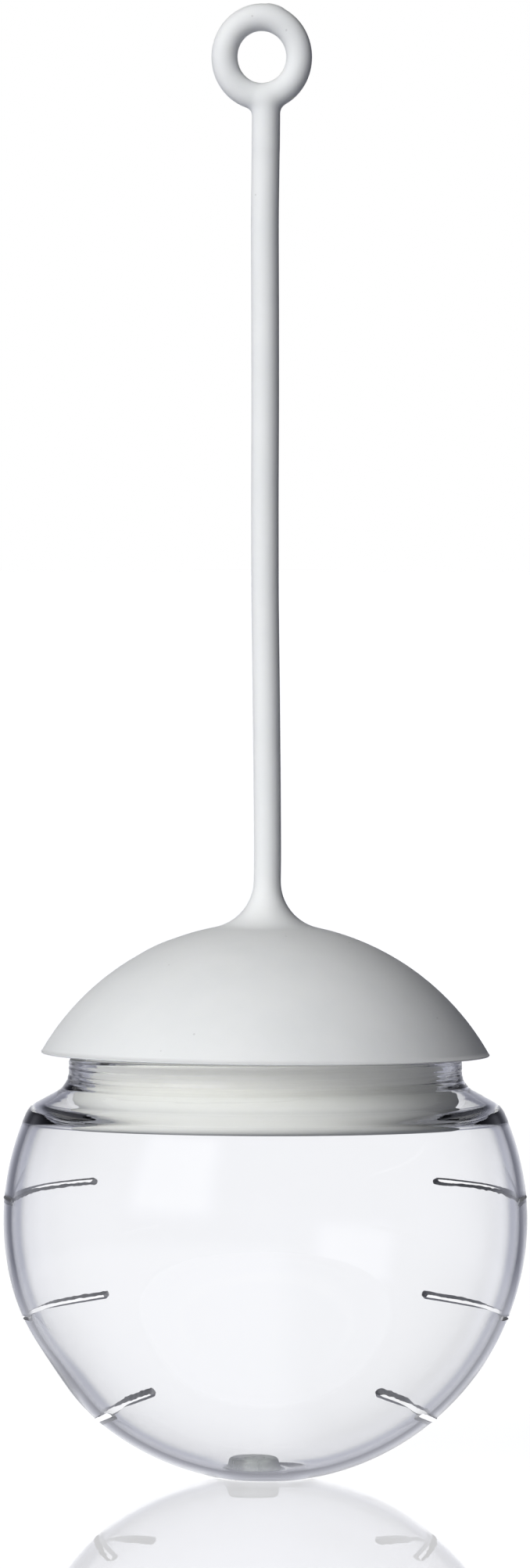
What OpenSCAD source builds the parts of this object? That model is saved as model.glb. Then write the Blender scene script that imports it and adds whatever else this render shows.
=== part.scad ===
// Glass tea infuser: a slotted glass globe closed by a silicone stopper lid
// with a flexible stem and a hanging ring. Millimetres, +Z up. The origin is
// the centre of the small flat foot that the globe stands on, and -Y is the front.

/* [Glass globe] */
// Outside diameter of the globe
globe_d = 60; // [56:0.5:61]
// Thickness of the glass in the globe
glass_t = 0.95; // [0.8:0.05:1.8]
// Diameter of the flat foot ground on the bottom
foot_d = 10; // [9:0.2:11]
// Diameter of the sealed glass pip inside the bottom
pip_d = 6.2; // [4:0.2:8]
// Height of the pip's top above the resting face
pip_h = 2.6; // [2:0.1:3.2]

/* [Neck] */
// Outside diameter of the neck
neck_d = 45.16; // [44:0.02:46]
// Thickness of the glass in the neck
neck_t = 1.8; // [1.5:0.05:2]
// Height of the neck's fire-polished rim
neck_top = 48.55; // [47.8:0.05:48.55]
// Angle above the globe's centre where the shoulder starts to round in
shoulder_a = 23.9; // [20:0.1:26]
// Radius of the shoulder's round
shoulder_r = 3.1; // [2.6:0.1:3.6]
// Angle of the shoulder's surface normal above level, between the two rounds
shoulder_slope = 62; // [58:1:66]
// Radius of the hollow between the shoulder and the neck
throat_r = 2.45; // [2:0.05:2.8]

/* [Water slits] */
// Width of each slit, top to bottom
slit_w = [0.6, 0.6, 0.85]; // [0.4:0.05:1]
// Radius of the saw blade that cuts the slits
blade_r = 20; // [19:0.5:24]
// Height of each slit at the side of the globe, top to bottom
slit_z = [32.5, 18.5, 6.6]; // [5:0.1:36]
// Outward and downward tilt of each slit's plane, in degrees
slit_tilt = [0, 6.3, 20.8]; // [0:0.1:30]
// Fall of each slit's plane towards the back, in degrees
slit_fall = [-1, 1, 4.5]; // [-4:0.5:6]
// Where each slit starts, in degrees from the side, negative towards the front
slit_from = [-15, -15, -26]; // [-30:1:-5]
// Where each slit ends, in degrees from the side, positive towards the back
slit_to = [46.5, 45.5, 36]; // [30:0.5:52]

/* [Stopper lid] */
// Diameter of the lid's rim
lid_d = 51.4; // [50:0.1:53]
// Radius of the lid's dome
dome_r = 29.5; // [28:0.5:32]
// Thickness of the silicone in the dome
dome_t = 2.6; // [2:0.1:3.2]
// Height of the lid's underside, which rests on the neck
lid_z = 48.6; // [48.6:0.05:50]
// Gap all round between the plug and the neck
plug_gap = 0.08; // [0.05:0.01:0.1]
// Diameter of the plug's waist
waist_d = 39; // [37:0.5:40]
// Depth of the plug below the lid's underside
plug_h = 8; // [7:0.1:8.5]
// Inside diameter of the plug
plug_bore_d = 32.4; // [28:0.2:33]

/* [Stem and ring] */
// Diameter of the stem
stem_d = 3.15; // [2.8:0.05:3.6]
// Radius of the blend between the dome and the stem
stem_fillet = 5.5; // [4:0.5:7]
// Height of the centre of the stem's bend
bend_z = 80; // [76:1:90]
// Clearance at the bend
bend_gap = 0.08; // [0.05:0.01:0.2]
// Height of the ring's centre
ring_z = 162.75; // [140:0.25:180]
// Radius of the ring's centre line
ring_r = 4.42; // [4.2:0.01:4.5]
// Thickness of the ring
ring_t = 3.1; // [2.9:0.1:3.2]
// Diameter of the ring's hole, which has a narrow flat land
ring_hole_d = 6; // [6:0.1:6.2]

/* [Hidden] */
$fn = 128;
glass_color = [0.86, 0.9, 0.93, 0.35];
silicone_color = [0.93, 0.94, 0.93];

// Globe
globe_r = globe_d / 2;
cavity_r = globe_r - glass_t;
globe_z = sqrt(globe_r * globe_r - foot_d * foot_d / 4);
globe_centre = [0, 0, globe_z];

// Neck
neck_r = neck_d / 2;
bore_r = neck_r - neck_t;
rim_r = neck_t * 0.45;
cut_margin = 1; // how far a cutting shape runs past the glass

// Shoulder: a round that leaves the sphere at shoulder_a, a short straight
// slope, and a hollow that ends upright in the neck.
shoulder_x = (globe_r - shoulder_r) * cos(shoulder_a);
shoulder_z = globe_z + (globe_r - shoulder_r) * sin(shoulder_a);
throat_x = neck_r + throat_r;
throat_z = shoulder_z
    + (shoulder_r + throat_r - (throat_x - shoulder_x) * cos(shoulder_slope)) / sin(shoulder_slope);

// The turned shoulder starts below the sphere's cut, and inside its surface.
overlap_h = 2;
overlap_in = 1.5;

// Lid
lid_r = lid_d / 2;
dome_z = lid_z - sqrt(dome_r * dome_r - lid_r * lid_r);
dome_inner_r = dome_r - dome_t;
edge_a = atan2(lid_z - dome_z, lid_r);
edge_a_step = 0.45; // degrees above edge_a where the dome's arc stops
edge_h = 0.2;
edge_in = 0.15;

// Plug, with depths measured down from the lid's underside
plug_r = bore_r - plug_gap;
waist_r = waist_d / 2;
plug_bore_r = plug_bore_d / 2;
bead_depth = 1.2;
waist_top_depth = 1.9;
waist_bottom_depth = 3.3;
lip_depth = 4.9;
lip_outer_round = 0.7;
lip_inner_round = 0.6;

// Stem
stem_r = stem_d / 2;
fillet_x = stem_r + stem_fillet;
fillet_z = dome_z + sqrt(pow(dome_r + stem_fillet, 2) - fillet_x * fillet_x);
fillet_a = atan2(fillet_z - dome_z, fillet_x);
stub_top = bend_z - stem_r - bend_gap;

// Points on an arc about [x, z] in the profile plane, from angle start to end.
function arc(x, z, radius, start, end, steps) = [
    for (i = [0:steps])
        let (angle = start + (end - start) * i / steps)
            [x + radius * cos(angle), z + radius * sin(angle)]
];

function unit(v) = v / norm(v);

// Height where a sphere of this radius about the globe's centre meets the shoulder.
function split_z(radius) = globe_z + radius * sin(shoulder_a);

// First points of a shoulder profile, inside a sphere of this radius.
function overlap_points(radius) =
    let (z = split_z(radius) - overlap_h)
        [[0, z], [radius * cos(shoulder_a) - overlap_in, z]];

module turned(points) {
    rotate_extrude($fn = 128) polygon(points);
}

// Outside of the globe, shoulder and neck.
module globe_outside() {
    intersection() {
        translate(globe_centre) sphere(r = globe_r);
        cylinder(r = globe_r + cut_margin, h = split_z(globe_r));
    }
    turned(concat(
        overlap_points(globe_r),
        arc(shoulder_x, shoulder_z, shoulder_r, shoulder_a, shoulder_slope, 8),
        arc(throat_x, throat_z, throat_r, 180 + shoulder_slope, 180, 10),
        arc(neck_r - rim_r, neck_top - rim_r, rim_r, 0, 90, 6),
        [[0, neck_top]]));
}

// Hollow of the globe, shoulder and neck, with the pip left standing.
module globe_inside() {
    difference() {
        intersection() {
            translate(globe_centre) sphere(r = cavity_r);
            cylinder(r = globe_r, h = split_z(cavity_r));
        }
        cylinder(d = pip_d, h = pip_h);
    }
    turned(concat(
        overlap_points(cavity_r),
        arc(shoulder_x, shoulder_z, shoulder_r - glass_t, shoulder_a, shoulder_slope, 8),
        arc(throat_x, throat_z, throat_r + neck_t, 180 + shoulder_slope, 180, 12),
        arc(bore_r + rim_r, neck_top - rim_r, rim_r, 180, 90, 6),
        [[bore_r + rim_r, neck_top + cut_margin], [0, neck_top + cut_margin]]));
}

// One blade cut on the left side. The blade lies in a plane through the globe's
// side at height z, and its edge crosses the glass at the two end angles.
module slit(width, z, tilt, fall, from, to) {
    side = [-sqrt(globe_r * globe_r - pow(z - globe_z, 2)), 0, z];
    normal = unit([-tan(tilt), tan(fall), 1]);

    // Circle where the plane cuts the globe
    offset_d = (side - globe_centre) * normal;
    section_centre = globe_centre + normal * offset_d;
    section_r = sqrt(globe_r * globe_r - offset_d * offset_d);
    outward = unit(side - section_centre);
    backward = cross(outward, normal);

    middle = (from + to) / 2;
    half = (to - from) / 2;
    reach = section_r * cos(half) + sqrt(pow(blade_r, 2) - pow(section_r * sin(half), 2));
    translate(section_centre + (outward * cos(middle) + backward * sin(middle)) * reach)
        rotate([0, acos(normal[2]), atan2(normal[1], normal[0])])
            cylinder(r = blade_r, h = width, center = true);
}

// All the slits on the left side.
module slits() {
    for (i = [0:len(slit_z) - 1])
        slit(slit_w[i], slit_z[i], slit_tilt[i], slit_fall[i], slit_from[i], slit_to[i]);
}

// Blown glass globe with an open neck, three slits down each side and a flat foot.
module glass_globe() {
    color(glass_color)
        difference() {
            globe_outside();
            globe_inside();
            slits();
            mirror([1, 0, 0]) slits();
        }
}

// Silicone lid: hollow dome, plug with a centring bead and a lower lip, and
// the root of the stem. The lip is drawn as the neck squeezes it.
module silicone_lid() {
    plug_z = lid_z - plug_h;
    color(silicone_color)
        turned(concat(
            // Stem root, dome and edge
            [[0, stub_top], [stem_r, stub_top]],
            arc(fillet_x, fillet_z, stem_fillet, 180, 180 + fillet_a, 12),
            arc(0, dome_z, dome_r, fillet_a, edge_a + edge_a_step, 28),
            [[lid_r, lid_z + edge_h], [lid_r - edge_in, lid_z]],
            // Bead, waist and lip
            [[plug_r, lid_z], [plug_r, lid_z - bead_depth]],
            [[waist_r, lid_z - waist_top_depth], [waist_r, lid_z - waist_bottom_depth]],
            [[plug_r, lid_z - lip_depth]],
            arc(plug_r - lip_outer_round, plug_z + lip_outer_round, lip_outer_round, 0, -90, 5),
            // Hollow
            arc(plug_bore_r + lip_inner_round, plug_z + lip_inner_round,
                lip_inner_round, 270, 180, 5),
            arc(0, dome_z, dome_inner_r, acos(plug_bore_r / dome_inner_r), 90, 16)));
}

// Upper stem and hanging ring, with a ball at the centre of the bend.
module loop_handle() {
    color(silicone_color)
        difference() {
            union() {
                translate([0, 0, bend_z]) sphere(r = stem_r);
                translate([0, 0, bend_z]) cylinder(r = stem_r, h = ring_z - ring_r - bend_z);
                translate([0, 0, ring_z]) rotate([90, 0, 0])
                    rotate_extrude($fn = 96) translate([ring_r, 0]) circle(d = ring_t, $fn = 48);
            }
            translate([0, 0, ring_z]) rotate([90, 0, 0])
                cylinder(d = ring_hole_d, h = 2 * ring_t, center = true, $fn = 96);
        }
}

glass_globe();
silicone_lid();
loop_handle();
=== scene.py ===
# Glass tea infuser: the looks. Every length below is in millimetres until it
# goes into a mesh, where it becomes metres in the frame's own coordinates.
import bpy, bmesh, math
import numpy as np
from mathutils import Matrix, Vector


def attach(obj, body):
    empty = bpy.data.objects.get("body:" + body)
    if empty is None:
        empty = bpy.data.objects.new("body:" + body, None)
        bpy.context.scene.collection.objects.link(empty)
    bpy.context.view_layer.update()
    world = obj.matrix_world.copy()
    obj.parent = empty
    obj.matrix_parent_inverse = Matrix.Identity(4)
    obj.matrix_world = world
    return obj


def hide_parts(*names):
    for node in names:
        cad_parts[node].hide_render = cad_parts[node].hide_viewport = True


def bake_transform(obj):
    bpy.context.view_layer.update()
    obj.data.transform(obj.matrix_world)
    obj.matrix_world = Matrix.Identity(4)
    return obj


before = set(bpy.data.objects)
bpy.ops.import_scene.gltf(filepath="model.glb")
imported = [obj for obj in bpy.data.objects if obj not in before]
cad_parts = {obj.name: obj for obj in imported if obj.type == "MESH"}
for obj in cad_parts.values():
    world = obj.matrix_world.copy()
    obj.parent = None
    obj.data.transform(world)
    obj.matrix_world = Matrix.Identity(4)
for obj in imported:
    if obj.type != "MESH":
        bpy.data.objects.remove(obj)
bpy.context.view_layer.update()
scene = bpy.context.scene
MM = 0.001
RAD = math.pi / 180


# ---------------------------------------------------------------- helpers
def arc(cx, cz, r, a0, a1, n):
    return [(cx + r * math.cos(a * RAD), cz + r * math.sin(a * RAD)) for a in np.linspace(a0, a1, n + 1)]


def run(p, q, n):
    """n points from p towards q, q left out."""
    return [(p[0] + (q[0] - p[0]) * i / n, p[1] + (q[1] - p[1]) * i / n) for i in range(n)]


def dedupe(points, eps=1e-4):
    out = [points[0]]
    for p in points[1:]:
        if math.hypot(p[0] - out[-1][0], p[1] - out[-1][1]) > eps:
            out.append(p)
    return out


def profile_normals(points):
    """Unit normals of a profile, to the right of its direction of travel, smoothed at the corners."""
    p = np.array(points)
    d = np.diff(p, axis=0)
    length = np.linalg.norm(d, axis=1)[:, None]
    n = np.column_stack([d[:, 1], -d[:, 0]]) / length
    out = np.zeros_like(p)
    out[:-1] += n / length
    out[1:] += n / length
    out /= np.linalg.norm(out, axis=1)[:, None]
    return out


def spin(name, points, segments, place=None):
    """A mesh of the profile turned about Z. place moves an array of (azimuth, r, z) to xyz, in millimetres."""
    p = np.array(points)
    az = np.arange(segments) * 2 * math.pi / segments
    verts, rows = [], []
    for r, z in p:
        if r < 1e-6:
            a, rr, zz = np.zeros(1), np.zeros(1), np.full(1, z)
        else:
            a, rr, zz = az, np.full(segments, r), np.full(segments, z)
        xyz = place(a, rr, zz) if place else np.column_stack([rr * np.cos(a), rr * np.sin(a), zz])
        rows.append((sum(len(v) for v in verts), len(a)))
        verts.append(xyz)
    verts = np.vstack(verts) * MM
    faces = []
    for (s0, n0), (s1, n1) in zip(rows, rows[1:]):
        for i in range(segments):
            j = (i + 1) % segments
            if n0 == 1 and n1 == 1:
                continue
            if n0 == 1:
                faces.append((s0, s1 + i, s1 + j))
            elif n1 == 1:
                faces.append((s0 + j, s0 + i, s1))
            else:
                faces.append((s0 + i, s1 + i, s1 + j, s0 + j))
    me = bpy.data.meshes.new(name)
    me.from_pydata(verts.tolist(), [], faces)
    me.update()
    return me


def outward(me):
    """Faces turned so that the closed mesh's normals point out."""
    bm = bmesh.new()
    bm.from_mesh(me)
    bmesh.ops.recalc_face_normals(bm, faces=bm.faces)
    bm.to_mesh(me)
    bm.free()
    me.update()


def new_object(name, me):
    ob = bpy.data.objects.new(name, me)
    scene.collection.objects.link(ob)
    return ob


# ---------------------------------------------------------------- node helpers
class Tree:
    def __init__(self, tree):
        self.t = tree
        tree.nodes.clear()

    def add(self, kind, inputs=None, **props):
        n = self.t.nodes.new(kind)
        for k, v in props.items():
            setattr(n, k, v)
        for k, v in (inputs or {}).items():
            s = n.inputs[k]
            if isinstance(v, bpy.types.NodeSocket):
                self.t.links.new(v, s)
            else:
                s.default_value = v
        return n

    def math(self, op, a, b=0.0, c=0.0, clamp=False):
        n = self.add("ShaderNodeMath", operation=op, use_clamp=clamp)
        for i, v in enumerate((a, b, c)):
            if isinstance(v, bpy.types.NodeSocket):
                self.t.links.new(v, n.inputs[i])
            else:
                n.inputs[i].default_value = v
        return n.outputs[0]

    def ramp(self, fac, stops, mode="EASE"):
        n = self.add("ShaderNodeValToRGB", {"Fac": fac})
        n.color_ramp.interpolation = mode
        e = n.color_ramp.elements
        while len(e) < len(stops):
            e.new(0.5)
        for k, (pos, col) in zip(e, stops):
            k.position = pos
            k.color = (*col, 1.0) if len(col) == 3 else col
        return n.outputs["Color"]

    def noise(self, vec, scale, detail=2.0, rough=0.5, distortion=0.0):
        return self.add("ShaderNodeTexNoise", {"Vector": vec, "Scale": scale, "Detail": detail, "Roughness": rough, "Distortion": distortion}).outputs["Fac"]

    def mix_colour(self, fac, a, b, blend="MIX"):
        n = self.add("ShaderNodeMix", data_type="RGBA", blend_type=blend)
        for name, v in (("Factor", fac), ("A", a), ("B", b)):
            s = [i for i in n.inputs if i.name == name and (i.type == "RGBA" if name != "Factor" else i.type == "VALUE")][0]
            if isinstance(v, bpy.types.NodeSocket):
                self.t.links.new(v, s)
            else:
                s.default_value = v if name == "Factor" else (*v, 1.0)
        return [o for o in n.outputs if o.type == "RGBA"][0]


def material(name):
    m = bpy.data.materials.new(name)
    m.use_nodes = True
    return m, Tree(m.node_tree)


def lamps_pass(t, shader, colour):
    """The shader, with light let through it to what is behind: shadow and diffuse rays go straight through."""
    path = t.add("ShaderNodeLightPath")
    through = t.math("MAXIMUM", path.outputs["Is Shadow Ray"], path.outputs["Is Diffuse Ray"])
    clear = t.add("ShaderNodeBsdfTransparent", {"Color": (*colour, 1.0)})
    mix = t.add("ShaderNodeMixShader", {0: through, 1: shader, 2: clear.outputs[0]})
    return mix.outputs[0]


# ---------------------------------------------------------------- materials
def clear_glass():
    m, t = material("blown_glass")
    co = t.add("ShaderNodeTexCoord").outputs["Object"]
    # A blown wall is very slightly uneven: broad swells, and finer drawn rings near the neck.
    swell = t.noise(co, 55.0, 1.0)
    squeezed = t.add("ShaderNodeMapping", {"Vector": co, "Scale": (60.0, 60.0, 900.0)}).outputs[0]
    drawn = t.noise(squeezed, 1.0, 2.0, 0.55)
    z = t.add("ShaderNodeSeparateXYZ", {"Vector": co}).outputs["Z"]
    at_neck = t.add("ShaderNodeMapRange", {"Value": z, "From Min": 0.0425, "From Max": 0.0465}, clamp=True).outputs[0]
    drawn = t.math("MULTIPLY", drawn, at_neck)
    bump = t.add("ShaderNodeBump", {"Height": swell, "Strength": 0.05, "Distance": 0.001}).outputs[0]
    bump = t.add("ShaderNodeBump", {"Height": drawn, "Strength": 0.22, "Distance": 0.0006, "Normal": bump}).outputs[0]
    rough = t.add("ShaderNodeMapRange", {"Value": t.noise(co, 400.0, 3.0), "To Min": 0.0, "To Max": 0.02}).outputs[0]
    p = t.add("ShaderNodeBsdfPrincipled", {
        "Base Color": (0.978, 0.982, 0.996, 1.0), "Roughness": rough, "IOR": 1.474,
        "Transmission Weight": 1.0, "Normal": bump,
    })
    t.add("ShaderNodeOutputMaterial", {"Surface": lamps_pass(t, p.outputs[0], (1.0, 0.998, 0.98))})
    return m


def sawn_glass():
    m, t = material("frosted_saw_cut")
    co = t.add("ShaderNodeTexCoord").outputs["Object"]
    grit = t.noise(co, 6000.0, 3.0, 0.7)
    chips = t.add("ShaderNodeTexVoronoi", {"Vector": co, "Scale": 2600.0}).outputs["Distance"]
    bump = t.add("ShaderNodeBump", {"Height": grit, "Strength": 0.6, "Distance": 0.0001}).outputs[0]
    bump = t.add("ShaderNodeBump", {"Height": chips, "Strength": 0.4, "Distance": 0.0001, "Normal": bump}).outputs[0]
    colour = t.ramp(grit, [(0.35, (0.30, 0.30, 0.315)), (0.7, (0.55, 0.555, 0.57))])
    rough = t.add("ShaderNodeMapRange", {"Value": grit, "To Min": 0.45, "To Max": 0.75}).outputs[0]
    glass = t.add("ShaderNodeBsdfPrincipled", {"Base Color": colour, "Roughness": rough, "IOR": 1.474, "Transmission Weight": 1.0, "Normal": bump})
    ground = t.add("ShaderNodeBsdfPrincipled", {"Base Color": colour, "Roughness": 0.8, "Normal": bump})
    mix = t.add("ShaderNodeMixShader", {0: 0.5, 1: glass.outputs[0], 2: ground.outputs[0]})
    t.add("ShaderNodeOutputMaterial", {"Surface": lamps_pass(t, mix.outputs[0], (0.85, 0.85, 0.87))})
    return m


def pip_glass():
    m, t = material("sealed_pip")
    co = t.add("ShaderNodeTexCoord").outputs["Object"]
    cords = t.noise(t.add("ShaderNodeMapping", {"Vector": co, "Scale": (500.0, 500.0, 160.0)}).outputs[0], 1.0, 3.0, 0.6, 0.8)
    bump = t.add("ShaderNodeBump", {"Height": cords, "Strength": 0.5, "Distance": 0.0004}).outputs[0]
    colour = t.ramp(cords, [(0.3, (0.40, 0.435, 0.405)), (0.7, (0.55, 0.585, 0.55))])
    rough = t.add("ShaderNodeMapRange", {"Value": cords, "To Min": 0.15, "To Max": 0.45}).outputs[0]
    glass = t.add("ShaderNodeBsdfPrincipled", {"Base Color": (0.9, 0.92, 0.9, 1), "Roughness": rough, "IOR": 1.474, "Transmission Weight": 1.0, "Normal": bump})
    ground = t.add("ShaderNodeBsdfPrincipled", {"Base Color": colour, "Roughness": 0.7, "Normal": bump})
    # The left end ran out thin and ragged, so it is clearer.
    x = t.add("ShaderNodeSeparateXYZ", {"Vector": co}).outputs["X"]
    torn = t.math("MULTIPLY", t.math("SUBTRACT", t.noise(co, 1500.0, 3.0, 0.7), 0.5), 0.0020)
    solid = t.add("ShaderNodeMapRange", {"Value": t.math("ADD", x, torn), "From Min": -0.0026, "From Max": -0.0022,
                  "To Min": 0.2, "To Max": 0.68}, clamp=True).outputs[0]
    mix = t.add("ShaderNodeMixShader", {0: solid, 1: glass.outputs[0], 2: ground.outputs[0]})
    t.add("ShaderNodeOutputMaterial", {"Surface": lamps_pass(t, mix.outputs[0], (0.9, 0.92, 0.9))})
    return m


def silicone():
    m, t = material("matt_white_silicone")
    co = t.add("ShaderNodeTexCoord").outputs["Object"]
    cloud = t.noise(co, 90.0, 3.0, 0.55)
    colour = t.ramp(cloud, [(0.3, (0.80, 0.815, 0.808)), (0.7, (0.835, 0.845, 0.835))])
    # Fine moulded tooth, with a few specks of dust that the soft surface holds.
    tooth = t.noise(co, 5200.0, 2.0, 0.6)
    ripple = t.noise(co, 420.0, 2.0, 0.5)
    speck = t.add("ShaderNodeTexVoronoi", {"Vector": co, "Scale": 420.0, "Randomness": 1.0}).outputs["Distance"]
    speck = t.math("LESS_THAN", speck, 0.055)
    rare = t.math("GREATER_THAN", t.noise(co, 160.0, 0.0), 0.56)
    speck = t.math("MULTIPLY", speck, rare)
    colour = t.mix_colour(t.math("MULTIPLY", speck, 0.35), colour, (0.42, 0.42, 0.41))
    # The plug inside the neck is painted with light and shade by height: darker towards the lip's lower edge, a
    # brighter, slightly creamier white up at the waist, in place of the light that reaches it through the glass.
    z = t.add("ShaderNodeSeparateXYZ", {"Vector": co}).outputs["Z"]
    plug = t.add("ShaderNodeMapRange", {"Value": z, "From Min": 0.0487, "From Max": 0.0482}, clamp=True).outputs[0]
    up = t.add("ShaderNodeMapRange", {"Value": z, "From Min": 0.040, "From Max": 0.048}, clamp=True).outputs[0]
    # Painted light and shade: darker low on the plug, a bright warm white at the waist.
    plug_painted_light_and_shade = t.ramp(up, [(0.15, (0.73, 0.74, 0.72)), (0.33, (0.82, 0.83, 0.81)), (0.55, (0.85, 0.86, 0.83)), (0.72, (0.95, 0.95, 0.905))], "LINEAR")
    colour = t.mix_colour(plug, colour, plug_painted_light_and_shade)
    # Painted light: the waist glows faintly through emission, stronger towards the left, standing in for the light that
    # the glass wrapped round it gathers.
    waist = t.math("MULTIPLY", plug, t.add("ShaderNodeMapRange", {"Value": z, "From Min": 0.0447, "From Max": 0.0459}, clamp=True).outputs[0])
    leftward = t.add("ShaderNodeMapRange", {"Value": t.add("ShaderNodeSeparateXYZ", {"Vector": co}).outputs["X"],
                     "From Min": 0.021, "From Max": 0.0, "To Min": 0.25, "To Max": 1.0}, clamp=True).outputs[0]
    lit = t.math("MULTIPLY", t.math("MULTIPLY", waist, leftward), 0.13)
    rough = t.add("ShaderNodeMapRange", {"Value": tooth, "To Min": 0.46, "To Max": 0.66}).outputs[0]
    bump = t.add("ShaderNodeBump", {"Height": ripple, "Strength": 0.05, "Distance": 0.0005}).outputs[0]
    bump = t.add("ShaderNodeBump", {"Height": tooth, "Strength": 0.10, "Distance": 0.0001, "Normal": bump}).outputs[0]
    p = t.add("ShaderNodeBsdfPrincipled", {
        "Base Color": colour, "Roughness": rough, "IOR": 1.41, "Specular IOR Level": 0.15, "Normal": bump,
        "Subsurface Weight": 0.22, "Subsurface Scale": 0.0014, "Subsurface Radius": (1.0, 1.0, 0.9),
        # The emission is the waist's painted glow.
        "Emission Color": (1.0, 1.0, 0.94, 1.0), "Emission Strength": lit,
    })
    t.add("ShaderNodeOutputMaterial", {"Surface": p.outputs[0]})
    return m


# ---------------------------------------------------------------- glass globe
R, WALL, ZC = 30.1, 0.95, 29.65
NECK_R, NECK_T, NECK_TOP = 22.58, 1.35, 48.3
SH_A, SH_R, SLOPE, TH_R = 23.9, 3.1, 62.0, 2.45
SH_X = (R - SH_R) * math.cos(SH_A * RAD)
SH_Z = ZC + (R - SH_R) * math.sin(SH_A * RAD)
TH_X = NECK_R + TH_R
TH_Z = SH_Z + (SH_R + TH_R - (TH_X - SH_X) * math.cos(SLOPE * RAD)) / math.sin(SLOPE * RAD)
BORE = NECK_R - NECK_T


def glass_profile():
    cav = R - WALL
    fil = 6.0
    fx = math.sqrt((R - fil) ** 2 - (ZC - fil) ** 2)
    a_foot = -90 + math.asin(fx / (R - fil)) / RAD
    pts = [(0.0, 0.0), (1.4, 0.0), (2.8, 0.0)]
    pts += arc(fx, fil, fil, -90, a_foot, 6)
    pts += arc(0, ZC, R, a_foot, SH_A, 104)
    pts += arc(SH_X, SH_Z, SH_R, SH_A, SLOPE, 14)
    pts += arc(TH_X, TH_Z, TH_R, 180 + SLOPE, 180, 16)
    rim = NECK_T * 0.45
    pts += run((NECK_R, TH_Z), (NECK_R, NECK_TOP - rim), 8)
    pts += arc(NECK_R - rim, NECK_TOP - rim, rim, 0, 90, 7)
    pts += arc(BORE + rim, NECK_TOP - rim, rim, 90, 180, 7)
    pts += run((BORE, NECK_TOP - rim), (BORE, 46.9), 8)
    # Inside, the shoulder is one easy sweep, so the glass is thickest at its corner.
    a_in = 21.9
    q0 = np.array([cav * math.cos(a_in * RAD), ZC + cav * math.sin(a_in * RAD)])
    q1 = q0 + 2.1 * np.array([-math.sin(a_in * RAD), math.cos(a_in * RAD)])
    q2, q3 = np.array([BORE, 44.0]), np.array([BORE, 46.9])
    for u in np.linspace(0, 1, 34)[:-1]:
        v = 1 - u
        pts.append(tuple(v ** 3 * q3 + 3 * v * v * u * q2 + 3 * v * u * u * q1 + u ** 3 * q0))
    # Down the hollow to the sealed pip in the bottom.
    pip_r, pip_h, round_r = 2.9, 2.25, 0.6
    a_pip = -90 + math.asin((pip_r + 0.8) / cav) / RAD
    pts += arc(0, ZC, cav, a_in, a_pip, 104)
    z0 = ZC - math.sqrt(cav ** 2 - (pip_r + 0.8) ** 2)
    pts += arc(pip_r + 0.8, z0 + 0.75, 0.75, -90, -165, 5)
    pts += arc(pip_r - round_r, pip_h - round_r, round_r, 5, 90, 7)
    pts += [(1.6, pip_h + 0.03), (0.8, pip_h + 0.05), (0.0, pip_h + 0.05)]
    return dedupe(pts)


def ripple(az, z):
    """Tooling rings in the neck and shoulder, and a flatter patch low on the left, in millimetres of radius."""
    w = np.clip((z - 43.0) / 2.5, 0, 1)
    w = w * w * (3 - 2 * w)
    flat = -0.55 * np.exp(-((z - 12.9) / 4.5) ** 2 - (1 + np.cos(az)) / 0.2)
    return flat + w * (
        0.020 * np.sin(z * 7.1 + 1.3 * np.sin(az * 2 + 0.4))
        + 0.012 * np.sin(z * 12.7 + 0.9 * np.sin(az * 3 + 2.1) + 1.0)
        + 0.010 * np.sin(az * 5 + z * 2.3)
    )


PIP_OFF = 1.35   # the sealed pip sits off to the left


def pip_shift(r, z):
    w = np.clip((8.0 - r) / 3.5, 0, 1)
    return -PIP_OFF * w * w * (3 - 2 * w) * (z > 0.45)


def place_glass(az, r, z):
    rr = r + ripple(az, z) * (r > 5)
    return np.column_stack([rr * np.cos(az) + pip_shift(r, z), rr * np.sin(az), z])


SLITS = [  # width outside and inside, height at the side, outward tilt, fall to the back, from, to, slope of the cut beside square, jag
    (0.54, 0.60, 32.5, 0.0, -1.2, -15.0, 46.8, 25.0, 8.0, 0.030),
    (0.60, 0.68, 18.5, 6.3, 1.2, -15.0, 45.8, 0.0, -11.0, 0.020),
    (0.90, 1.00, 6.6, 20.8, 4.4, -26.0, 37.0, 26.0, -10.0, 0.035),
]


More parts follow.
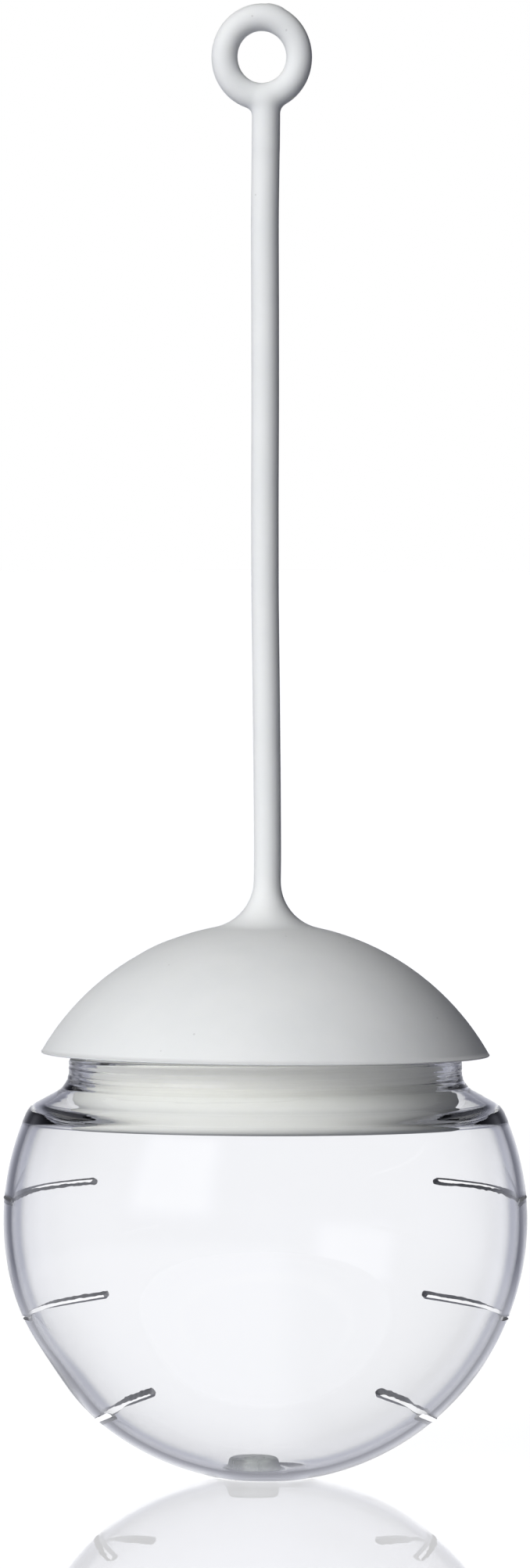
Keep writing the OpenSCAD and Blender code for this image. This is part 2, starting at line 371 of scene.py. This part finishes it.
def saw_cut(w_out, w_in, z, tilt, fall, a0, a1, psi0, psi1, jag, mirror):
    """One cut's waste as a swept wedge with round ends: corner points and faces, in millimetres."""
    c = np.array([0, 0, ZC])
    side = np.array([-math.sqrt(R * R - (z - ZC) ** 2), 0, z])
    n = np.array([-math.tan(tilt * RAD), math.tan(fall * RAD), 1.0])
    n /= np.linalg.norm(n)
    d = (side - c) @ n
    q = c + n * d
    section = math.sqrt(R * R - d * d)
    e1 = (side - q) / np.linalg.norm(side - q)
    e2 = np.cross(e1, n)
    length = section * (a1 - a0) * RAD
    s = np.concatenate([w_out / 2 * (1 - np.cos(np.linspace(0.25, math.pi / 2, 6))),
                        np.linspace(w_out / 2, length - w_out / 2, 130)[1:-1],
                        length - w_out / 2 * (1 - np.cos(np.linspace(math.pi / 2, 0.25, 6)))])
    rng = np.random.default_rng(int(z * 10) + (7 if mirror else 0))
    fine = np.convolve(rng.normal(size=len(s) + 4), [0.25, 0.5, 1, 0.5, 0.25], "valid")
    slow = np.interp(s, np.linspace(0, length, 9), rng.uniform(-1, 1, 9))
    verts, faces = [], []
    for i, si in enumerate(s):
        a = a0 + si / section / RAD
        end = min(si, length - si)
        taper = math.sqrt(max(0.0, 1 - (1 - min(1.0, end / (w_out / 2))) ** 2))
        taper = max(taper, 0.15)
        p = q + (e1 * math.cos(a * RAD) + e2 * math.sin(a * RAD)) * section
        out = (p - c) / R
        along = -e1 * math.sin(a * RAD) + e2 * math.cos(a * RAD)
        up = np.cross(out, along)
        up *= np.sign(up[2])
        k = min(1.0, max(0.0, (a - 8) / 18))
        psi = (psi0 + (psi1 - psi0) * k * k * (3 - 2 * k)) * RAD
        deep = out * math.cos(psi) + up * math.sin(psi)
        thick = np.cross(along, deep)
        thick *= np.sign(thick[2])
        w = lambda depth: (w_out + (w_in - w_out) * depth / WALL) / 2 * taper * (0.76 + 0.24 * k)
        rough = jag * (fine[i] + slow[i])
        for depth, sgn in ((-1.4, 1), (-1.4, -1), (WALL + 1.3, -1), (WALL + 1.3, 1)):
            worn = rough * taper if (sgn > 0) == (z < 20) else 0.25 * rough * taper
            verts.append(p - deep * depth + thick * sgn * (w(depth) + worn))
    for i in range(len(s) - 1):
        for k in range(4):
            u, v = i * 4 + k, i * 4 + (k + 1) % 4
            faces.append((u, v, v + 4, u + 4))
    faces += [(3, 2, 1, 0), tuple(len(s) * 4 - 4 + k for k in range(4))]
    verts = np.array(verts)
    if mirror:
        verts[:, 0] *= -1
    return verts, faces


def build_glass():
    prof = glass_profile()
    me = spin("globe_turned", prof, 240, place_glass)
    outward(me)
    ob = new_object("glass_globe_blown", me)

    verts, faces = [], []
    for cut in SLITS:
        for mirror in (False, True):
            v, f = saw_cut(*cut, mirror)
            faces += [tuple(k + len(verts) * len(v) for k in face) for face in f]
            verts.append(v)
    cme = bpy.data.meshes.new("blades")
    cme.from_pydata((np.vstack(verts) * MM).tolist(), [], faces)
    cme.update()
    outward(cme)
    cutter = new_object("blades", cme)
    mod = ob.modifiers.new("slits", "BOOLEAN")
    mod.operation, mod.solver, mod.object = "DIFFERENCE", "EXACT", cutter
    dg = bpy.context.evaluated_depsgraph_get()
    done = bpy.data.meshes.new_from_object(ob.evaluated_get(dg))
    ob.modifiers.clear()
    ob.data = done
    done.name = "glass_globe_blown"
    bpy.data.objects.remove(cutter)

    # Exact normals of the turned surface on the blown faces, flat ones on the sawn faces.
    P, N = np.array(prof), profile_normals(prof)
    n_loop, n_vert, n_poly = len(done.loops), len(done.vertices), len(done.polygons)
    co = np.zeros(n_vert * 3); done.vertices.foreach_get("co", co); co = co.reshape(-1, 3) / MM
    lv = np.zeros(n_loop, int); done.loops.foreach_get("vertex_index", lv)
    pn = np.zeros(n_poly * 3); done.polygons.foreach_get("normal", pn); pn = pn.reshape(-1, 3)
    pc = np.zeros(n_poly * 3); done.polygons.foreach_get("center", pc); pc = pc.reshape(-1, 3) / MM
    tot = np.zeros(n_poly, int); done.polygons.foreach_get("loop_total", tot)
    poly_of = np.repeat(np.arange(n_poly), tot)

    A, B = P[:-1], P[1:]
    AB = B - A
    L2 = (AB ** 2).sum(1)

    def nearest(rz):
        best_d, seg, frac = np.full(len(rz), 1e9), np.zeros(len(rz), int), np.zeros(len(rz))
        for k in range(len(A)):
            t = np.clip(((rz - A[k]) @ AB[k]) / L2[k], 0, 1)
            d = np.hypot(*(rz - A[k] - t[:, None] * AB[k]).T)
            hit = d < best_d
            best_d[hit], seg[hit], frac[hit] = d[hit], k, t[hit]
        return best_d, seg, frac

    def turned_normal(xyz):
        xyz = xyz.copy()
        x0 = xyz[:, 0].copy()
        for _ in range(6):
            xyz[:, 0] = x0 - pip_shift(np.hypot(xyz[:, 0], xyz[:, 1]), xyz[:, 2])
        az = np.arctan2(xyz[:, 1], xyz[:, 0])
        r = np.hypot(xyz[:, 0], xyz[:, 1])
        rz = np.column_stack([r - ripple(az, xyz[:, 2]) * (r > 5), xyz[:, 2]])
        d, seg, f = nearest(rz)
        n = N[seg] * (1 - f)[:, None] + N[seg + 1] * f[:, None]
        # tilt by the ripple's slope
        h = 0.01
        slope_z = (ripple(az, xyz[:, 2] + h) - ripple(az, xyz[:, 2] - h)) / (2 * h)
        slope_a = (ripple(az + h, xyz[:, 2]) - ripple(az - h, xyz[:, 2])) / (2 * h) / np.maximum(r, 1)
        er = np.column_stack([np.cos(az), np.sin(az), 0 * az])
        et = np.column_stack([-np.sin(az), np.cos(az), 0 * az])
        out = er * n[:, :1] + np.array([0, 0, 1]) * n[:, 1:2]
        sign = np.sign(n[:, :1])
        out = out - sign * (np.array([0, 0, 1]) * slope_z[:, None] + et * slope_a[:, None]) * np.abs(n[:, :1])
        return out / np.linalg.norm(out, axis=1)[:, None], d

    cn, cd = turned_normal(pc)
    blown = ((cn * pn).sum(1) > 0.9) & (cd < 0.08)
    normals = pn[poly_of].copy()
    keep = blown[poly_of]
    vn, _ = turned_normal(co)
    normals[keep] = vn[lv[keep]]
    done.materials.clear()
    done.materials.append(clear_glass())
    done.materials.append(sawn_glass())
    done.materials.append(pip_glass())
    at_pip = (np.hypot(pc[:, 0] + PIP_OFF, pc[:, 1]) < 3.85) & (pc[:, 2] > 0.8) & (pc[:, 2] < 4)
    done.polygons.foreach_set("material_index", np.where(at_pip, 2, np.where(blown, 0, 1)).astype(np.int32))
    done.polygons.foreach_set("use_smooth", np.ones(n_poly, bool))
    done.normals_split_custom_set(normals.tolist())
    done.update()
    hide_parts("glass_globe")
    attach(ob, "globe")
    return ob


# ---------------------------------------------------------------- silicone lid, stem and ring
DOME_R, DOME_Z, LID_R, LID_Z = 29.5, 34.23, 25.7, 48.6
STEM_R0, STEM_R1 = 1.545, 1.60          # at the dome and at the ring
RING_X, RING_Z, RING_AX, RING_AZ, RING_T = -0.40, 162.70, 4.27, 4.53, 1.505
JOIN_Z = 152.0
LEAN = 0.5 * RAD


def stem_x(z):
    """How far the soft stem wanders from the axis."""
    zs = [48.6, 58.0, 63.5, 67.0, 71.0, 80.0, 90.5, 101.0, 112.0, 122.8, 133.5, 144.3, 155.0, 170.0]
    xs = [0.0, 0.06, 0.13, 0.20, 0.27, 0.21, 0.10, -0.03, -0.05, -0.01, -0.02, -0.06, 0.08, 0.10]
    zz = np.clip(z, zs[0], zs[-1])
    fine = np.linspace(zs[0], zs[-1], 400)
    y = np.interp(fine, zs, xs)
    k = np.hanning(25); k /= k.sum()
    y = np.convolve(np.pad(y, 12, mode="edge"), k, mode="valid")
    return np.interp(zz, fine, y)


def stem_r(z):
    return STEM_R0 + (STEM_R1 - STEM_R0) * np.clip((z - 70) / 80, 0, 1)


def place_lid(az, r, z):
    x, y = r * np.cos(az), r * np.sin(az)
    w = np.clip((67.5 - z) / 6.0, 0, 1)
    w = w * w * (3 - 2 * w)
    z2 = z - x * math.tan(LEAN) * w
    x2 = x + stem_x(z) * np.ones_like(x)
    # a faint flash mark on the dome's left flank, where the mould closed
    d = np.hypot((x + 12.6) / 1.9, y / 0.9)
    z2 = z2 + 0.07 * np.exp(-d ** 4) * (z > 50)
    return np.column_stack([x2, y, z2])


def lid_profile():
    fil = 5.5
    fx = STEM_R0 + fil
    fz = DOME_Z + math.sqrt((DOME_R + fil) ** 2 - fx ** 2)
    fa = math.atan2(fz - DOME_Z, fx) / RAD
    pts = []
    for z in np.concatenate([np.linspace(JOIN_Z - 0.2, 93, 56), np.linspace(92.5, fz, 49)])[:-1]:
        pts.append((float(stem_r(z)), float(z)))
    pts += arc(fx, fz, fil, 180, 180 + fa, 14)
    er = 0.16
    ea = math.atan2(LID_Z - DOME_Z, LID_R) / RAD
    pts += arc(0, DOME_Z, DOME_R, fa, ea + 0.35, 46)
    pts += arc(LID_R - er, LID_Z + er, er, 10, -90, 5)
    pts += run((LID_R - er, LID_Z), (21.0, LID_Z), 6)
    pts += arc(20.85, LID_Z - 0.35, 0.35, 90, 180, 4)
    pts += [(20.45, 47.7), (20.30, 47.2), (19.95, 46.6), (19.65, 46.1), (19.56, 45.75), (19.66, 45.4), (20.0, 45.05), (20.5, 44.65), (21.05, 44.15), (21.5, 43.6), (21.95, 43.05), (22.2, 42.65)]
    pts += arc(20.95, 42.0, 1.35, 6, -90, 12)
    pts += run((20.6, 40.65), (17.2, 40.6), 4)
    pts += arc(17.0, 41.4, 0.8, 270, 180, 6)
    pts += run((16.2, 42.2), (16.2, 55.2), 10)
    inner = DOME_R - 2.6
    ia = math.acos(16.2 / inner) / RAD
    pts += arc(0, DOME_Z, inner, ia + 1.5, 90, 22)
    pts[-1] = (0.0, pts[-1][1])
    return dedupe(pts)


def ring_field(p):
    """Signed distance, near enough, to the ring and the stem's top, in millimetres."""
    x, y, z = p[..., 0], p[..., 1], p[..., 2]
    dx, dz = x - RING_X, z - RING_Z
    rho = np.sqrt((dx / RING_AX) ** 2 + (dz / RING_AZ) ** 2)
    mean = (RING_AX + RING_AZ) / 2
    ang = np.arctan2(dx, dz) / RAD
    tube = RING_T + 0.012 * np.sin(ang * RAD * 3 + 0.7)
    # mould flash near the top, and a fine parting line all round
    flash = 0.09 / (1 + np.exp(-(ang - 6) * 1.4)) / (1 + np.exp((ang - 24) * 1.1)) * np.exp(-(y / 0.45) ** 2) * (rho > 1)
    line = 0.022 * np.exp(-(y / 0.14) ** 2)
    ring = np.sqrt(((rho - 1) * mean) ** 2 + y ** 2) - tube - flash - line
    sx = x - stem_x(z)
    top = RING_Z - RING_AZ - 0.7
    up = np.maximum(z - top, 0)
    rod = np.sqrt(sx ** 2 + (y + 0.06) ** 2 + up ** 2) - stem_r(z) - line * 0.6
    k = 0.75
    h = np.clip(0.5 + 0.5 * (rod - ring) / k, 0, 1)
    return rod * (1 - h) + ring * h - k * h * (1 - h)


def surface_net(field, lo, hi, step):
    """Quads on the field's zero surface, with each vertex drawn onto it. Open where the box cuts it."""
    axes = [np.arange(lo[i], hi[i] + step, step) for i in range(3)]
    g = np.stack(np.meshgrid(*axes, indexing="ij"), -1)
    f = field(g)
    plug_painted_light_and_shade = f < 0
    nx, ny, nz = f.shape
    cells = np.zeros((nx - 1, ny - 1, nz - 1), int)
    total = np.zeros((nx - 1, ny - 1, nz - 1, 3))
    count = np.zeros((nx - 1, ny - 1, nz - 1))
    for axis in range(3):
        o = [a for a in range(3) if a != axis]
        for u in (0, 1):
            for v in (0, 1):
                s0 = [slice(0, n - 1) for n in f.shape]
                s1 = [slice(0, n - 1) for n in f.shape]
                for a, b in ((o[0], u), (o[1], v)):
                    s0[a] = s1[a] = slice(b, f.shape[a] - 1 + b)
                s1[axis] = slice(1, f.shape[axis])
                a, b = f[tuple(s0)], f[tuple(s1)]
                cross = (a < 0) != (b < 0)
                t = np.where(cross, a / np.where(cross, a - b, 1), 0)
                pt = g[tuple(s0)] + (g[tuple(s1)] - g[tuple(s0)]) * t[..., None]
                total += pt * cross[..., None]
                count += cross
    live = count > 0
    index = np.full(live.shape, -1)
    index[live] = np.arange(live.sum())
    verts = total[live] / count[live][:, None]
    faces = []
    for axis in range(3):
        o = [(axis + 1) % 3, (axis + 2) % 3]
        s0 = [slice(None)] * 3
        s1 = [slice(None)] * 3
        s0[axis], s1[axis] = slice(0, -1), slice(1, None)
        for a in o:
            s0[a] = s1[a] = slice(1, f.shape[a] - 1)
        a, b = plug_painted_light_and_shade[tuple(s0)], plug_painted_light_and_shade[tuple(s1)]
        for flip in (False, True):
            where = np.argwhere(a & ~b if not flip else ~a & b)
            if not len(where):
                continue
            base = where.copy()
            for q in o:
                base[:, q] += 1
            quad = []
            for du, dv in ((-1, -1), (0, -1), (0, 0), (-1, 0)):
                c = base.copy()
                c[:, o[0]] += du
                c[:, o[1]] += dv
                quad.append(index[c[:, 0], c[:, 1], c[:, 2]])
            quad = np.stack(quad, 1)
            faces.append(quad[:, ::-1] if flip else quad)
    faces = np.vstack(faces)
    faces = faces[(faces >= 0).all(1)]
    e = 1e-3
    for _ in range(4):
        val = field(verts)
        grad = np.stack([(field(verts + d) - field(verts - d)) / (2 * e) for d in np.eye(3) * e], -1)
        verts = verts - 0.9 * grad * (val / np.maximum((grad ** 2).sum(-1), 1e-6))[:, None]
    return verts, faces


def build_lid():
    me = spin("lid_turned", lid_profile(), 144, place_lid)
    step = 0.14
    lo = (RING_X - 6.6, -2.2, JOIN_Z)
    hi = (RING_X + 6.6, 2.2, RING_Z + 6.6)
    verts, faces = surface_net(ring_field, lo, hi, step)
    low = verts[:, 2].min()
    at_edge = verts[:, 2] < JOIN_Z + step * 0.75
    verts[at_edge, 2] = JOIN_Z + step * 0.5
    bm = bmesh.new()
    bm.from_mesh(me)
    new = [bm.verts.new(Vector(v) * MM) for v in verts]
    for f in faces:
        bm.faces.new([new[i] for i in f])
    bm.normal_update()
    loops = [e for e in bm.edges if len(e.link_faces) == 1]
    bmesh.ops.bridge_loops(bm, edges=loops)
    bmesh.ops.recalc_face_normals(bm, faces=bm.faces)
    ring_verts = [v for v in bm.verts if v.co.z > (JOIN_Z - 0.5) * MM]
    for f in bm.faces:
        f.smooth = True
    out = bpy.data.meshes.new("silicone_lid_and_stem")
    bm.to_mesh(out)
    bm.free()
    ob = new_object("silicone_lid_and_stem", out)
    out.materials.append(silicone())
    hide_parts("silicone_lid", "loop_handle")
    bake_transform(ob)
    return ob


glass = build_glass()
lid = build_lid()


# ---------------------------------------------------------------- floor
def build_floor():
    me = bpy.data.meshes.new("floor")
    s = 30.0
    me.from_pydata([(-s, -s, -0.00005), (s, -s, -0.00005), (s, s, -0.00005), (-s, s, -0.00005)], [], [(0, 1, 2, 3)])
    ob = new_object("floor", me)
    m, t = material("glossy_white_sheet")
    path = t.add("ShaderNodeLightPath")
    glow = t.add("ShaderNodeEmission", {"Color": (1, 1, 1, 1), "Strength": 1.25})
    co = t.add("ShaderNodeTexCoord").outputs["Object"]
    rough = t.add("ShaderNodeMapRange", {"Value": t.noise(co, 30.0, 2.0), "To Min": 0.0, "To Max": 0.012}).outputs[0]
    matt = t.add("ShaderNodeBsdfDiffuse", {"Color": (0.3, 0.3, 0.3, 1)})
    base = t.add("ShaderNodeAddShader", {0: glow.outputs[0], 1: matt.outputs[0]})
    shine = t.add("ShaderNodeBsdfGlossy", {"Color": (0.58, 0.585, 0.625, 1), "Roughness": rough})
    # Little shine from above, a strong mirror at the camera's grazing angle.
    facing = t.add("ShaderNodeLayerWeight", {"Blend": 0.5}).outputs["Facing"]
    grazing = t.math("ADD", t.math("MULTIPLY", t.math("POWER", facing, 3.2), 0.76), 0.04)
    grazing = t.math("MINIMUM", grazing, 0.6)
    mix = t.add("ShaderNodeMixShader", {0: grazing, 1: base.outputs[0], 2: shine.outputs[0]})
    clear = t.add("ShaderNodeBsdfTransparent")
    only = t.add("ShaderNodeMixShader", {0: path.outputs["Is Camera Ray"], 1: clear.outputs[0], 2: mix.outputs[0]})
    t.add("ShaderNodeOutputMaterial", {"Surface": only.outputs[0]})
    me.materials.append(m)
    return ob


build_floor()


# ---------------------------------------------------------------- studio light
def build_world():
    w = bpy.data.worlds.new("studio")
    scene.world = w
    w.use_nodes = True
    t = Tree(w.node_tree)
    way = t.add("ShaderNodeTexCoord").outputs["Generated"]
    cam = t.add("ShaderNodeVectorTransform", {"Vector": way}, vector_type="VECTOR", convert_from="WORLD", convert_to="CAMERA").outputs[0]
    unit = t.add("ShaderNodeVectorMath", {0: cam}, operation="NORMALIZE").outputs[0]
    xyz = t.add("ShaderNodeSeparateXYZ", {"Vector": unit})
    x, y, zf = xyz.outputs["X"], xyz.outputs["Y"], xyz.outputs["Z"]   # right, up, away from the camera
    sink = -2.6 * RAD   # the globe is a little below the camera's axis
    above = t.math("SUBTRACT", y, math.sin(sink))
    above = t.math("ADD", t.math("MULTIPLY", t.math("MAXIMUM", above, 0.0), 0.74), t.math("MINIMUM", above, 0.0))
    aside = t.math("SQRT", t.math("ADD", t.math("MULTIPLY", x, x), t.math("MULTIPLY", above, above)))
    off = t.math("DIVIDE", t.math("ARCTAN2", aside, zf), RAD)
    az = t.math("DIVIDE", t.math("ARCTAN2", x, t.math("MULTIPLY", zf, -1.0)), RAD)
    el = t.math("DIVIDE", t.math("ARCSINE", y), RAD)

    def step(v, lo, hi):
        return t.add("ShaderNodeMapRange", {"Value": v, "From Min": lo, "From Max": hi, "To Min": 0.0, "To Max": 1.0},
                     clamp=True, interpolation_type="SMOOTHSTEP").outputs[0]

    def lobe(a, e, width):
        way_to = (math.cos(e * RAD) * math.sin(a * RAD), math.sin(e * RAD), -math.cos(e * RAD) * math.cos(a * RAD))
        dot = t.add("ShaderNodeVectorMath", {0: unit, 1: way_to}, operation="DOT_PRODUCT").outputs["Value"]
        q = t.math("DIVIDE", t.math("ARCCOSINE", dot), width * RAD)
        return t.math("EXPONENT", t.math("MULTIPLY", t.math("MULTIPLY", q, q), -1.0))

    # The lit screen behind the object, a dark gap round it, and the pale walls of the tent beyond.
    ring = t.ramp(t.math("DIVIDE", off, 120.0), [(a / 120.0, (v,) * 3) for a, v in SCREEN], "LINEAR")
    ring = t.add("ShaderNodeRGBToBW", {"Color": ring}).outputs[0]
    beyond = step(off, 15.0, 27.0)
    # Mirrors see the screen's hottest part, and only the dim edge of the box's glow.
    path = t.add("ShaderNodeLightPath")
    mirrored = t.math("MULTIPLY", path.outputs["Is Glossy Ray"], t.math("SUBTRACT", 1.0, path.outputs["Is Transmission Ray"]))
    hot = t.math("MULTIPLY", mirrored, t.math("SUBTRACT", 1.0, beyond))
    # The same, also for light that still had to cross glass after its reflection.
    bounced = t.math("MULTIPLY", t.math("MINIMUM", path.outputs["Glossy Depth"], 1.0),
                     t.math("SUBTRACT", 1.0, path.outputs["Is Diffuse Ray"]))
    ring = t.math("MULTIPLY", ring, t.math("ADD", t.math("MULTIPLY", hot, 0.25), 1.11))
    ring = t.math("MULTIPLY", ring, t.math("SUBTRACT", 1.0, t.math("MULTIPLY", beyond, step(el, 4.0, 22.0))))
    # The white table, which the glass mirrors into view from below.
    table = t.math("MULTIPLY", t.math("MULTIPLY", mirrored, step(t.math("MULTIPLY", el, -1.0), 3.0, 13.0)), 0.8)
    ring = t.math("MAXIMUM", ring, table)
    right = t.math("MULTIPLY", step(x, 0.0, 0.3), step(off, 50.0, 65.0))
    ring = t.math("MULTIPLY", ring, t.math("SUBTRACT", 1.0, t.math("MULTIPLY", right, 0.82)))
    # The soft box in front, high on the left, and its glow on the tent.
    box = t.math("MULTIPLY", t.math("MULTIPLY", step(az, -68.0, -56.0), step(t.math("MULTIPLY", az, -1.0), 18.0, 30.0)),
                 t.math("MULTIPLY", step(el, -1.0, 9.0), step(t.math("MULTIPLY", el, -1.0), -43.0, -33.0)))
    total = t.math("ADD", ring, t.math("MULTIPLY", box, t.math("SUBTRACT", 2.4, t.math("MULTIPLY", bounced, 1.6))))
    glow = None
    for a, e, width, v in ((-28, 29, 20, 5.75), (0, -30, 20, 0.8), (0, 10, 36, 0.25)):
        one = t.math("MULTIPLY", lobe(a, e, width), v)
        glow = one if glow is None else t.math("ADD", glow, one)
    total = t.math("ADD", total, t.math("MULTIPLY", glow, t.math("SUBTRACT", 1.0, t.math("MULTIPLY", bounced, 0.97))))
    tint = t.ramp(total, [(0.0, (0.75, 0.775, 1.0)), (0.3, (0.825, 0.845, 1.0)), (0.7, (0.89, 0.905, 1.0)),
                          (0.87, (0.955, 0.962, 1.0)), (1.0, (1.0, 1.0, 1.0))], "LINEAR")
    lit = t.add("ShaderNodeBackground", {"Color": tint, "Strength": total})
    white = t.add("ShaderNodeBackground", {"Color": (1, 1, 1, 1), "Strength": 1.0})
    mix = t.add("ShaderNodeMixShader", {0: path.outputs["Is Camera Ray"], 1: lit.outputs[0], 2: white.outputs[0]})
    t.add("ShaderNodeOutputWorld", {"Surface": mix.outputs[0]})
    w.cycles.sampling_method = "MANUAL"
    w.cycles.sample_map_resolution = 1024


# Brightness of the surroundings against the angle from the middle of the screen.
SCREEN = [(0, 0.97), (8, 0.975), (10, 0.58), (14, 0.44), (18, 0.34), (21, 0.24), (24, 0.17), (28, 0.17), (31, 0.33), (35, 0.49),
          (38, 0.44), (45, 0.345), (55, 0.42), (70, 0.40), (85, 0.33), (105, 0.23), (119, 0.1)]
build_world()

# ---------------------------------------------------------------- camera
DIST, HIGH, AIM, TALL = 1.175, 0.108, 0.07957, 0.17954
cam_data = bpy.data.cameras.new("camera")
cam = bpy.data.objects.new("camera", cam_data)
scene.collection.objects.link(cam)
eye, target = Vector((0.0, -DIST, HIGH)), Vector((-0.00004, 0.0, AIM))
cam.location = eye
cam.rotation_euler = (target - eye).to_track_quat("-Z", "Y").to_euler()
cam_data.sensor_width = 36.0
cam_data.lens = 18.0 / (TALL / 2 / (target - eye).length)
cam_data.clip_start, cam_data.clip_end = 0.05, 100.0
scene.camera = cam

scene.view_settings.view_transform = "Standard"
scene.view_settings.look = "None"
scene.cycles.max_bounces = 28
scene.cycles.transmission_bounces = 24
scene.cycles.glossy_bounces = 8
scene.cycles.diffuse_bounces = 4
scene.cycles.transparent_max_bounces = 24
scene.cycles.sample_clamp_indirect = 12.0
